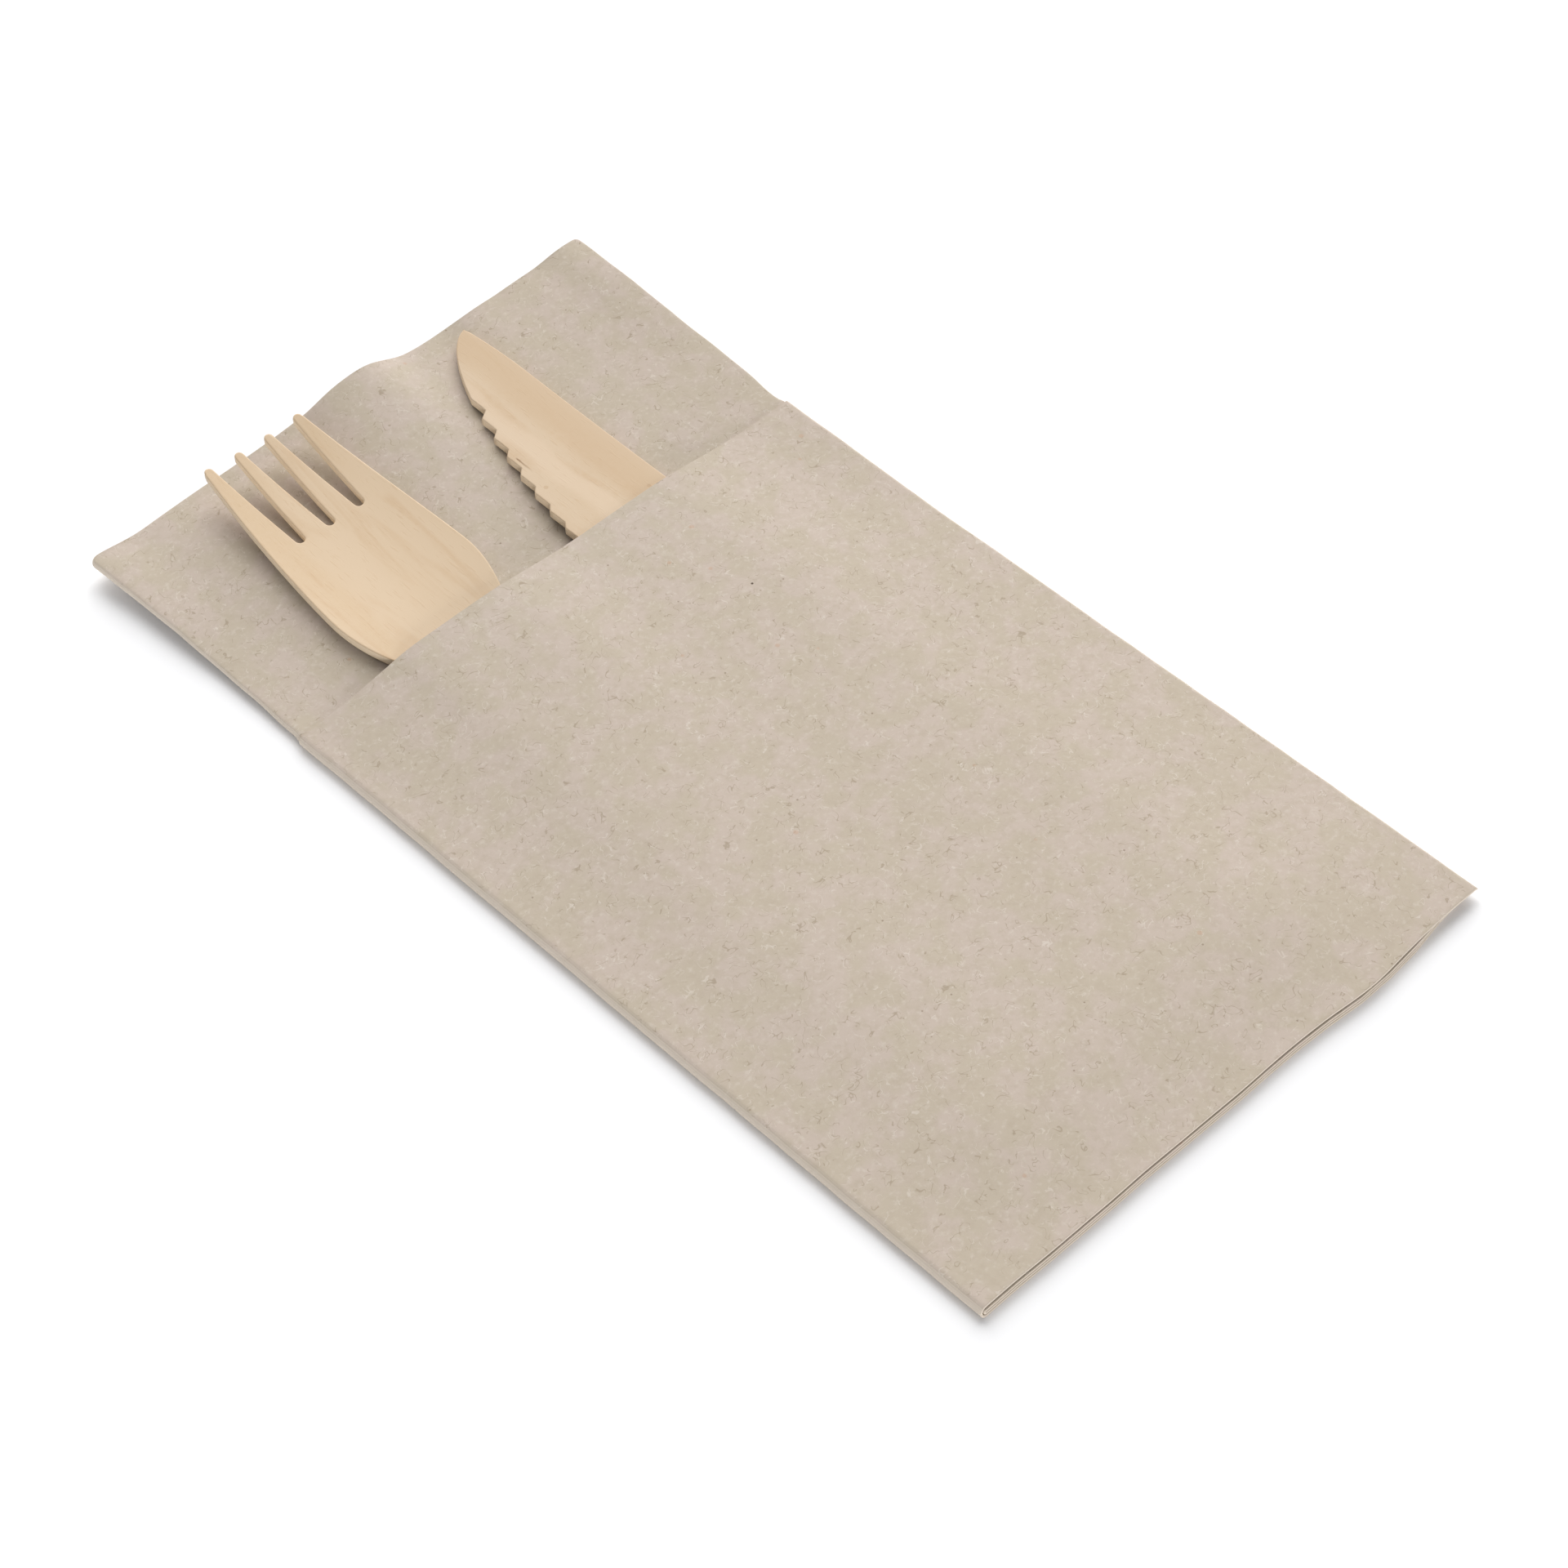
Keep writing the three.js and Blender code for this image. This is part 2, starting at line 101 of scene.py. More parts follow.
# Folds by hand: ripples as (height, seed, wavelength), leans, a skew, a bulge and a recessed corner
SIDE_RIPPLE = (0.08, 21, 11.0)
BOTTOM_RIPPLE = (0.10, 31, 17.0)
RIPPLE_REACH = 3
STACK_HEIGHT = 1.8
BOTTOM_LEAN = 0.4
LEFT_LEAN = 0.15
LEAN_REACH = 2.5
LEFT_LEAN_END = 132
LEFT_LEAN_FADE = 8
BOTTOM_SKEW = 0.5
SKEW_ACROSS = 70
SKEW_ALONG = 60
BOTTOM_BULGE = 0.8
BULGE_PLACE = 76.0
BULGE_WIDTH = 9.0
BULGE_REACH = 12
CORNER_RECESS = 1.3
RECESS_START = 87.5
RECESS_RUN = 6.5
RECESS_TOP = 1.55
RECESS_FADE = 0.8
RECESS_REACH = 3

# Napkin mesh: fine strips beside the side folds, and runs along the sheet as (from, to, stations)
FINE_STRIP = 3
BACK_RUNS = ((187.3, 146, 40), (145, 138, 9), (134, 2, 24))
FRONT_RUNS = ((4, 136, 94), (137, 140, 5))
SHARP_COSINE = 0.3
RIM_AREA = 1e-6

# Height of the paper's top face past the mouth, by place across the pack and along it
ACROSS = (0, 10, 20, 30, 42, 52, 62, 74, 84, 92, 97, 100)
OPEN_END = {
    100: (1.74, 1.74, 1.74, 1.74, 1.74, 1.74, 1.74, 1.74, 1.74, 1.74, 1.74, 1.74),
    122: (1.74, 1.74, 1.74, 1.74, 1.74, 1.74, 1.74, 1.74, 1.74, 1.74, 1.9, 2.1),
    138: (1.6, 1.8, 2.2, 2.0, 1.7, 1.7, 1.7, 1.74, 1.8, 2.0, 2.4, 2.7),
    144: (1.5, 1.9, 2.8, 2.3, 1.7, 1.6, 1.7, 1.8, 1.9, 2.1, 2.4, 2.6),
    150: (1.6, 2.0, 3.1, 2.6, 1.9, 1.8, 2.1, 2.3, 2.4, 2.6, 2.9, 3.1),
    160: (1.8, 2.3, 3.5, 3.2, 2.6, 2.4, 2.7, 2.8, 3.0, 3.3, 3.6, 3.8),
    170: (2.5, 2.9, 3.9, 3.7, 3.2, 3.1, 3.2, 3.4, 3.7, 4.2, 4.7, 4.9),
    180: (2.7, 3.0, 3.8, 3.8, 3.7, 3.7, 3.85, 4.05, 4.4, 5.0, 5.7, 5.9),
    190: (3.5, 3.0, 3.5, 3.8, 4.2, 4.4, 4.5, 4.7, 5.0, 5.4, 6.1, 6.2),
}

# Heights of the top panel's raw edge and of the pocket's mouth, by place across the pack
RAW_EDGE = [
    (0, 3.7), (1.3, 3.8), (3.6, 3.5), (8.2, 2.9), (13, 3.35), (20.3, 3.8), (27, 4.0), (35, 4.5),
    (42.6, 5.3), (45.2, 6.2), (47.9, 7.05), (50.4, 7.4), (53, 7.6), (55.5, 7.55), (57.9, 6.7),
    (60.3, 5.5), (62.7, 4.6), (67.8, 4.4), (73.1, 4.7), (78.4, 5.1), (82, 5.0), (86.3, 5.3),
    (91.6, 5.4), (94.4, 6.1), (97.1, 6.4), (100, 6.2),
]
MOUTH = [
    (0, 1.95), (3.3, 2.0), (6.3, 2.4), (9, 2.7), (14.5, 3.65), (17.2, 4.1), (19.9, 4.8), (24, 5.1),
    (30, 5.15), (36, 5.2), (39.9, 5.1), (44, 4.75), (50, 4.25), (54, 4.15), (63, 4.2), (72.6, 4.15),
    (77, 3.8), (83, 3.1), (90, 2.6), (95, 2.7), (100, 2.9),
]

# Height of the flap over the handles, deep in the pocket
OVER_HANDLES = [
    (0, 1.9), (9, 2.4), (21, 3.55), (30, 3.75), (38, 3.65), (46, 3.6), (56, 3.72), (74, 3.75),
    (84, 3.0), (100, 1.95),
]

# How far each table of heights is blurred
RAW_EDGE_BLUR = 1.5
MOUTH_BLUR = 1.3
HANDLES_BLUR = 2.5
OPEN_END_BLUR = 2.0

# Cutlery: lengths in mm, places from the left and bottom fold lines
PLATE_THICKNESS = 1.5
SEAT_HEIGHT = 1.91
CUT_STEP = 2.5
FIRST_CUTS = (0.13, 0.37)

FORK_LENGTH = 160.0
FORK_HEAD_WIDTH = 26.0
FORK_TIP_WIDTH = 18.9
FORK_HEAD_LENGTH = 36.5
FORK_SHOULDER_LENGTH = 22.5
FORK_SHOULDER_POWER = 1.3
FORK_TAPER_POWER = 1.3
FORK_NECK_WIDTH = 9.6
FORK_HANDLE_WIDTH = 14.0
FORK_RISE = 5.7
FORK_RISE_POWER = 3.4
FORK_RISE_LENGTH = 80.0
FORK_DISH = 1.1
FORK_EASE = 0.3
FORK_PLACE = 29.1
FORK_END = 27.5
FORK_TILT = math.radians(-0.8)
TINE_COUNT = 4
TINE_TIP_WIDTH = 1.6
SLOT_LENGTH = 19.7
SLOT_ROOT_WIDTH = 1.6

KNIFE_LENGTH = 165.0
BLADE_WIDTH = 19.2
BLADE_LENGTH = 48.0
BLADE_OVERRUN = 0.15
BLADE_POWER = 1.2
BLADE_HEEL_LENGTH = 26.0
KNIFE_HANDLE_WIDTH = 16.0
KNIFE_HANDLE_INSET = 1.2
KNIFE_RISE = 3.0
KNIFE_RISE_LENGTH = 76.0
SPINE_DROP = 1.0
SPINE_DROP_LENGTH = 14.0
TIP_STEP = 0.25
TIP_INSET = 0.15
TIP_SHARE = 0.55
KNIFE_EASE = 0.25
KNIFE_PLACE = 72.4
KNIFE_END = 21.3
KNIFE_TILT = math.radians(0.75)
TOOTH_COUNT = 11
TOOTH_PITCH = 4.4
TOOTH_STEP = 1.0
FIRST_TOOTH_SETBACK = 12.3

# The knife's one dark split in its veneer
SPLIT_PLACE = (58.9, 159.5)
SPLIT_ANGLE = math.radians(-91)
SPLIT_LENGTH = 4.8


def clamp01(v):
    return np.clip(v, 0.0, 1.0)


def smooth(v):
    v = clamp01(v)
    return v * v * (3 - 2 * v)


def mix(a, b, t):
    return a + (b - a) * t


def soft_table(points, spread):
    """A smooth function through measured heights, blurred over a few millimetres."""
    at = np.arange(-20.0, 120.01, 0.25)
    xs, zs = np.array(points).T
    raw = np.interp(at, xs, zs)
    reach = np.arange(-4 * spread, 4 * spread + 0.01, 0.25)
    bell = np.exp(-0.5 * (reach / spread) ** 2)
    soft = np.convolve(raw, bell / bell.sum(), mode="same")
    return lambda x: np.interp(x, at[20:-20], soft[20:-20])


def soft_surface(across, rows, spread):
    """A smooth height over x and y through rows of measured heights."""
    xs, ys = np.arange(-10.0, 110.01, 1.0), np.arange(80.0, 210.01, 1.0)
    marks = np.array(list(rows))
    lines = np.array([np.interp(xs, across, rows[m]) for m in marks])
    grid = np.array([np.interp(ys, marks, column) for column in lines.T])
    reach = np.arange(-4 * spread, 4 * spread + 0.1, 1.0)
    bell = np.exp(-0.5 * (reach / spread) ** 2)
    bell /= bell.sum()
    half = len(bell) // 2
    for axis in (0, 1):
        pad = [(half, half) if k == axis else (0, 0) for k in (0, 1)]
        padded = np.pad(grid, pad, mode="edge")
        grid = np.apply_along_axis(lambda v: np.convolve(v, bell, mode="valid"), axis, padded)

    def height(x, y):
        u = np.clip(x - xs[0], 0, len(xs) - 1.001)
        v = np.clip(y - ys[0], 0, len(ys) - 1.001)
        i, j = u.astype(int), v.astype(int)
        s, t = u - i, v - j
        near = mix(grid[i, j], grid[i + 1, j], s)
        far = mix(grid[i, j + 1], grid[i + 1, j + 1], s)
        return mix(near, far, t)

    return height


def ripple(x, y, seed, wavelength):
    """Gentle unevenness made of a few crossed waves, between about -1 and 1."""
    rng = np.random.default_rng(seed)
    total = np.zeros(np.broadcast(x, y).shape)
    for _ in range(9):
        angle, phase = rng.uniform(0, 2 * np.pi, 2)
        wave = wavelength * rng.uniform(0.7, 1.6)
        total += np.sin(2 * np.pi * (x * np.cos(angle) + y * np.sin(angle)) / wave + phase)
    return total / 4.5


# Camera


def make_camera():
    a, e, roll = (math.radians(v) for v in (VIEW_AZIMUTH, VIEW_ELEVATION, VIEW_ROLL))
    back = np.array([math.sin(a) * math.cos(e), -math.cos(a) * math.cos(e), math.sin(e)])
    right = np.cross(-back, [0, 0, 1])
    right /= np.linalg.norm(right)
    up = np.cross(right, -back)
    x = math.cos(roll) * right + math.sin(roll) * up
    y = -math.sin(roll) * right + math.cos(roll) * up
    turn = np.array([x, -y, -back])
    place = (VIEW_TARGET - turn.T @ TARGET_IN_VIEW) * MM
    data = bpy.data.cameras.new("camera")
    data.sensor_width = SENSOR_MM
    data.lens = SENSOR_MM * FOCAL_LENGTH_PX / FRAME_PX
    data.clip_start, data.clip_end = 0.01, 50
    camera = bpy.data.objects.new("camera", data)
    bpy.context.scene.collection.objects.link(camera)
    columns = Matrix((x, y, back)).transposed().to_4x4()
    camera.matrix_world = Matrix.Translation(place) @ columns
    bpy.context.scene.camera = camera


# Cutlery


def fork_rise(x, y):
    along = clamp01((y - FORK_LENGTH + FORK_RISE_LENGTH) / FORK_RISE_LENGTH)
    dish_start = FORK_LENGTH - FORK_HEAD_LENGTH - FORK_SHOULDER_LENGTH
    dish = FORK_DISH * smooth((y - dish_start) / FORK_SHOULDER_LENGTH)
    return FORK_RISE * along**FORK_RISE_POWER + dish * (x / (FORK_HEAD_WIDTH / 2)) ** 2


def knife_rise(x, y):
    along = clamp01((y - KNIFE_LENGTH + KNIFE_RISE_LENGTH) / KNIFE_RISE_LENGTH)
    return KNIFE_RISE * along**2 + 0 * x


def fork_half_width(y):
    end, neck, head = FORK_HANDLE_WIDTH / 2, FORK_NECK_WIDTH / 2, FORK_HEAD_WIDTH / 2
    widest = FORK_LENGTH - FORK_HEAD_LENGTH
    neck_place = widest - FORK_SHOULDER_LENGTH
    if y < end:
        return math.sqrt(max(end**2 - (end - y) ** 2, 0))
    if y < neck_place:
        return float(mix(end, neck, smooth((y - end) / (neck_place - end))))
    if y < widest:
        before = (widest - y) / FORK_SHOULDER_LENGTH
        return neck + (head - neck) * (1 - before**2) ** FORK_SHOULDER_POWER
    taper = (head - FORK_TIP_WIDTH / 2) * ((y - widest) / FORK_HEAD_LENGTH) ** FORK_TAPER_POWER
    return head - taper


def arc(cx, cy, radius, start, end, count):
    return [
        (cx + radius * math.cos(t), cy + radius * math.sin(t))
        for t in np.linspace(math.radians(start), math.radians(end), count)
    ]


def fork_outline():
    """Counter-clockwise from the handle's end, round the tines and back."""
    tine = TINE_TIP_WIDTH / 2
    tip_y = FORK_LENGTH - tine
    spacing = (FORK_TIP_WIDTH - TINE_TIP_WIDTH) / (TINE_COUNT - 1)
    centers = [(i - (TINE_COUNT - 1) / 2) * spacing for i in range(TINE_COUNT)][::-1]
    end = FORK_HANDLE_WIDTH / 2
    side = [(fork_half_width(y), y) for y in np.arange(end, tip_y, 0.8)]
    right = arc(0, end, end, -90, 0, 20)[:-1] + side
    points = list(right)
    root = SLOT_ROOT_WIDTH / 2
    for i, cx in enumerate(centers):
        points += arc(cx, tip_y, tine, 0, 180, 11)
        if i + 1 < TINE_COUNT:
            middle = (cx + centers[i + 1]) / 2
            root_y = FORK_LENGTH - SLOT_LENGTH + root
            down = [
                (mix(cx - tine, middle + root, t), mix(tip_y, root_y, t))
                for t in np.linspace(0, 1, 14)[1:-1]
            ]
            points += down + arc(middle, root_y, root, 0, -180, 11)
            points += [(2 * middle - x, y) for x, y in reversed(down)]
    points += [(-x, y) for x, y in reversed(right)][:-1]
    return points


def blade_share(y):
    return smooth((y - KNIFE_LENGTH + BLADE_LENGTH) / BLADE_HEEL_LENGTH + 1)


def spine_at(y):
    inset = KNIFE_HANDLE_INSET * (1 - blade_share(y))
    drop = SPINE_DROP * clamp01((y - KNIFE_LENGTH + SPINE_DROP_LENGTH) / SPINE_DROP_LENGTH) ** 2
    return float(-inset - drop)


def cutting_edge_at(y):
    blade_start = KNIFE_LENGTH - BLADE_LENGTH
    handle_edge = -KNIFE_HANDLE_INSET - KNIFE_HANDLE_WIDTH
    if y < blade_start:
        return float(mix(handle_edge, -BLADE_WIDTH, blade_share(y)))
    along = (y - blade_start) / (BLADE_LENGTH + BLADE_OVERRUN)
    return -BLADE_WIDTH * math.sqrt(max(1 - along**BLADE_POWER, 0))


def knife_outline():
    """Counter-clockwise from the handle's end, up the spine and down the saw edge."""
    end = KNIFE_HANDLE_WIDTH / 2
    middle = -KNIFE_HANDLE_INSET - end
    points = arc(middle, end, end, -90, 0, 20)[:-1]
    points += [(spine_at(y), y) for y in np.arange(end, KNIFE_LENGTH - 0.6, 1.0)]
    spine_end, edge_end = spine_at(KNIFE_LENGTH), cutting_edge_at(KNIFE_LENGTH)
    points.append((spine_end - TIP_INSET, KNIFE_LENGTH - TIP_STEP))
    points.append((mix(spine_end, edge_end, TIP_SHARE), KNIFE_LENGTH))
    saw_start = KNIFE_LENGTH - FIRST_TOOTH_SETBACK
    curve = KNIFE_LENGTH - np.geomspace(TIP_STEP, FIRST_TOOTH_SETBACK, 18)[:-1]
    points += [(cutting_edge_at(y), y) for y in curve]
    for i in range(TOOTH_COUNT):
        upper = saw_start - i * TOOTH_PITCH
        lower = upper - TOOTH_PITCH
        point = cutting_edge_at(upper)
        for t in (0, 0.35, 0.7, 1):
            points.append((point, mix(upper, lower + TOOTH_STEP, t)))
    last = saw_start - TOOTH_COUNT * TOOTH_PITCH
    points += [(cutting_edge_at(y), y) for y in np.arange(last, end, -1.0)]
    points += arc(middle, end, end, 180, 270, 20)[:-1]
    return points


def inset(outline, amount):
    """The outline drawn in by an amount, along the mean of its edges' normals at each corner."""
    points = np.array(outline)
    edges = np.roll(points, -1, axis=0) - points
    normals = np.stack([-edges[:, 1], edges[:, 0]], axis=1)
    normals /= np.linalg.norm(normals, axis=1)[:, None]
    mean = normals + np.roll(normals, 1, axis=0)
    mean /= np.linalg.norm(mean, axis=1)[:, None]
    reach = 1 / np.maximum((mean * normals).sum(axis=1), 0.75)
    return points + mean * (reach * amount)[:, None]


def plate(name, outline, rise, ease, turn, place):
    """A bent plate of veneer: rings round its eased wall, two faces, cross cuts, then the bend."""
    bm = bmesh.new()
    quarter = np.linspace(0, math.pi / 2, 4)
    wall = [(ease * (1 - math.sin(t)), ease * (1 - math.cos(t))) for t in quarter]
    wall += [(drawn_in, PLATE_THICKNESS - z) for drawn_in, z in reversed(wall)]
    rings = [[bm.verts.new((x, y, z)) for x, y in inset(outline, drawn_in)] for drawn_in, z in wall]
    for lower, upper in zip(rings, rings[1:]):
        for i in range(len(outline)):
            j = (i + 1) % len(outline)
            bm.faces.new((lower[i], lower[j], upper[j], upper[i]))
    bm.faces.new(rings[0][::-1])
    bm.faces.new(rings[-1])
    xs, ys = np.array(outline).T
    first_x, first_y = FIRST_CUTS
    cut_ys = np.arange(math.ceil(ys.min()) + first_y, ys.max(), CUT_STEP)
    cut_xs = np.arange(math.ceil(xs.min()) + first_x, xs.max(), CUT_STEP)
    cuts = [((0, y, 0), (0, 1, 0)) for y in cut_ys] + [((x, 0, 0), (1, 0, 0)) for x in cut_xs]
    for point, normal in cuts:
        everything = bm.verts[:] + bm.edges[:] + bm.faces[:]
        bmesh.ops.bisect_plane(bm, geom=everything, plane_co=point, plane_no=normal, dist=1e-6)
    bmesh.ops.remove_doubles(bm, verts=bm.verts[:], dist=1e-4)
    bmesh.ops.recalc_face_normals(bm, faces=bm.faces[:])
    for v in bm.verts:
        x, y, z = v.co
        z += float(rise(x, y))
        turned_x = x * math.cos(turn) - y * math.sin(turn)
        turned_y = x * math.sin(turn) + y * math.cos(turn)
        v.co = (
            (turned_x + place[0] + LEFT_FOLD) * MM,
            (turned_y + place[1] + BOTTOM_FOLD) * MM,
            (z + place[2]) * MM,
        )
    mesh = bpy.data.meshes.new(name)
    bm.to_mesh(mesh)
    bm.free()
    for polygon in mesh.polygons:
        polygon.use_smooth = True
    piece = bpy.data.objects.new(name, mesh)
    bpy.context.scene.collection.objects.link(piece)
    weighted = piece.modifiers.new("even_normals", "WEIGHTED_NORMAL")
    weighted.weight = 90
    return piece


def place_of_fork():
    return (FORK_PLACE + FORK_LENGTH * math.sin(FORK_TILT), FORK_END, SEAT_HEIGHT)


def place_of_knife():
    return (KNIFE_PLACE + KNIFE_LENGTH * math.sin(KNIFE_TILT), KNIFE_END, SEAT_HEIGHT)


# Napkin


raw_edge_height = soft_table(RAW_EDGE, RAW_EDGE_BLUR)
mouth_height = soft_table(MOUTH, MOUTH_BLUR)
flap_height = soft_table(OVER_HANDLES, HANDLES_BLUR)
open_height = soft_surface(ACROSS, OPEN_END, OPEN_END_BLUR)

# Each panel's back sheet: its layer in the pocket, its layer past the mouth, and an extra gap
BACK_LAYERS = {
    "top": (6, 3, TOP_PANEL_GAP),
    "second": (5, 2, 0.0),
    "third": (2, 1, 0.0),
    "bottom": (1, 0, 0.0),
}


def layer_height(layer):
    return FIRST_LAYER + layer * LAYER_STEP


def open_share(y):
    return clamp01((y - POCKET_DEPTH) / (PACK_LENGTH - POCKET_DEPTH))


def table_place(x):
    """Place across the pack as the tables of heights count it."""
    return x + TABLE_CENTER + LEFT_FOLD


def back_height(panel, y):
    pocket, opened, extra = BACK_LAYERS[panel]
    settling = smooth((y - POCKET_DEPTH) / SETTLE_LENGTH)
    return mix(layer_height(pocket), layer_height(opened), settling) + extra


def lift(x, y):
    """How far the open end stands above its settled layers, the same for every panel."""
    y = y + 0 * x
    settled = back_height("top", y) + SHEET_THICKNESS / 2
    above = np.maximum(open_height(table_place(x), y) - settled, 0)
    return above * smooth((y - LIFT_START) / LIFT_RUN)


def edge_wave(x, y):
    """What the top panel's raw edge adds to the plain lift, fading down the open end."""
    across = table_place(x)
    wave = raw_edge_height(across) - open_height(across, PACK_LENGTH + 0 * x)
    return wave * open_share(y) ** WAVE_FADE_POWER


FORK_MARKS = np.linspace(0, FORK_LENGTH, 161)
FORK_HALVES = np.array([fork_half_width(y) for y in FORK_MARKS])
KNIFE_MARKS = np.linspace(0, KNIFE_LENGTH, 166)
KNIFE_EDGES = np.array([cutting_edge_at(y) for y in KNIFE_MARKS])


def to_piece(x, y, place, tilt):
    """Across and along a piece of cutlery, for a place on the napkin."""
    dx, dy = x - place[0], y - place[1]
    return dx * math.cos(tilt) + dy * math.sin(tilt), dy * math.cos(tilt) - dx * math.sin(tilt)


def under_cutlery(x, y):
    """The lowest height of the fork and the knife over a place, rising fast beside them."""
    across, along = to_piece(x, y, place_of_fork(), FORK_TILT)
    half = np.interp(along, FORK_MARKS, FORK_HALVES)
    outside = np.maximum(np.abs(across) - half, along - FORK_LENGTH)
    beside = np.maximum(outside - FREE_MARGIN, 0)
    over_fork = fork_rise(np.clip(across, -half, half), np.clip(along, 0, FORK_LENGTH))
    fork_limit = over_fork + beside * FREE_SLOPE
    across, along = to_piece(x, y, place_of_knife(), KNIFE_TILT)
    edge = np.interp(along, KNIFE_MARKS, KNIFE_EDGES)
    outside = np.maximum(np.maximum(edge - across, across), along - KNIFE_LENGTH)
    beside = np.maximum(outside - FREE_MARGIN, 0)
    knife_limit = knife_rise(across, np.clip(along, 0, KNIFE_LENGTH)) + beside * FREE_SLOPE
    return SEAT_HEIGHT + np.minimum(fork_limit, knife_limit)


def flap_standoff(x, y):
    """How far the front flap stands above the back sheet, from the cutlery to the folds."""
    across = table_place(x)
    sheet = SHEET_THICKNESS / 2 + back_height("top", 0.0)
    at_mouth = mouth_height(across) - sheet - lift(x, POCKET_DEPTH)
    inside = flap_height(across) - sheet
    toward_mouth = smooth((y - FLAP_BLEND_START) / (POCKET_DEPTH - FLAP_BLEND_START))
    full = np.maximum(mix(inside, at_mouth, toward_mouth), LAYER_STEP)
    foot = smooth(y / FOOT_LENGTH) ** FOOT_POWER
    side = smooth(x / SIDE_FADE) * smooth((PANEL_WIDTH - x) / SIDE_FADE)
    uneven = sum(size * ripple(x, y, seed, length) for size, seed, length in FLAP_RIPPLES)
    height = LAYER_STEP + (full - LAYER_STEP) * foot
    return np.maximum(height + uneven * side * foot, LAYER_STEP)


def fold_shift(x, y):
    """Sideways shift of the paper past the mouth: pulled in there, rounded at the raw corners."""
    past_mouth = y - POCKET_DEPTH

    def rounding(radius):
        past = clamp01((y - PACK_LENGTH + radius) / radius) * radius
        return radius - np.sqrt(radius**2 - past**2)

    flare = LEFT_FLARE * clamp01((past_mouth - FLARE_START) / FLARE_RUN) ** FLARE_POWER
    tuck = smooth((past_mouth - TUCK_START) / TUCK_RUN)
    left = LEFT_TUCK * tuck + rounding(LEFT_CORNER) - flare
    dip = tuck * (1 - smooth((past_mouth - DIP_LENGTH) / DIP_RUN))
    swell = RIGHT_SWELL * smooth((past_mouth - SWELL_START) / SWELL_RUN)
    right = RIGHT_TUCK * dip - swell + rounding(RIGHT_CORNER)
    return mix(left, -right, x / PANEL_WIDTH)


def stations_across():
    """Stations over the flat sheet from one side edge to the other, as (fold, x, angle)."""
    quarter = math.pi / 2
    outer_left, right, inner_left = 0, 1, 2
    turns = np.linspace(-quarter, quarter, 11)
    plain = np.linspace(0, PANEL_WIDTH - SIDE_EDGE_INSET, 17)[1:]
    far_strip = PANEL_WIDTH - FINE_STRIP
    top = np.concatenate([
        np.linspace(0, FINE_STRIP, 7)[1:-1],
        np.linspace(FINE_STRIP, far_strip, 86),
        np.linspace(far_strip, PANEL_WIDTH, 7)[1:-1],
    ])
    stations = [(outer_left, x, -quarter) for x in plain[::-1]]
    stations += [(outer_left, 0.0, a) for a in turns]
    stations += [(right, x, quarter) for x in top]
    stations += [(right, PANEL_WIDTH, a) for a in turns[::-1]]
    stations += [(right, x, -quarter) for x in plain[:-1][::-1]]
    stations += [(inner_left, 0.0, a) for a in turns[::-1]]
    stations += [(inner_left, x, -quarter) for x in plain]
    return np.array(stations)


def stations_along():
    """Stations from the raw edge down the back, round the bottom fold and up the flap."""
    quarter = math.pi / 2
    corner = PACK_LENGTH - LEFT_CORNER * (1 - np.cos(np.linspace(0, quarter, 6)))
    back = np.concatenate([corner, *(np.linspace(*run) for run in BACK_RUNS), [0.0]])
    near_fold = np.linspace(0, FINE_STRIP, 6)[1:]
    front = np.concatenate([near_fold, *(np.linspace(*run) for run in FRONT_RUNS)])
    stations = [(y, -quarter) for y in back]
    stations += [(0.0, a) for a in np.linspace(-quarter, quarter, 9)[1:]]
    stations += [(y, quarter) for y in front]
    return np.array(stations)


def folded(fold, x, angle, y, turn, depth):
    """Points of the folded sheet for arrays of stations, at a depth in its thickness."""
    uppers = [back_height(p, y) for p in ("top", "top", "second")]
    lowers = [back_height(p, y) for p in ("bottom", "second", "third")]
    upper = np.choose(fold, uppers)
    lower = np.choose(fold, lowers)
    top_panel = fold < 2
    outside = np.where(fold == 2, -1.0, 1.0)
    side = np.where(fold == 1, 1.0, -1.0)
    stand = np.where(top_panel & (angle > 0), flap_standoff(x, y), LAYER_STEP)
    doubled = stand / 2 + depth
    outward = outside * (stand / 2 + doubled * np.sin(turn))
    radius = (upper - lower) / 2 + outward
    tucked = x + fold_shift(x, y)
    share = np.where(top_panel, (1 + np.sin(angle)) / 2, 0.0)
    rise = lift(x, y) + share * edge_wave(x, y)
    reach = stand / 2 + depth
    px = tucked + side * radius * np.cos(angle)
    py = y - np.minimum(reach, 0.5) * np.cos(turn)
    pz = (upper + lower) / 2 + radius * np.sin(angle) + rise
    return px, py, pz


def fading(distance, reach):
    return np.exp(-np.maximum(distance, 0) / reach)


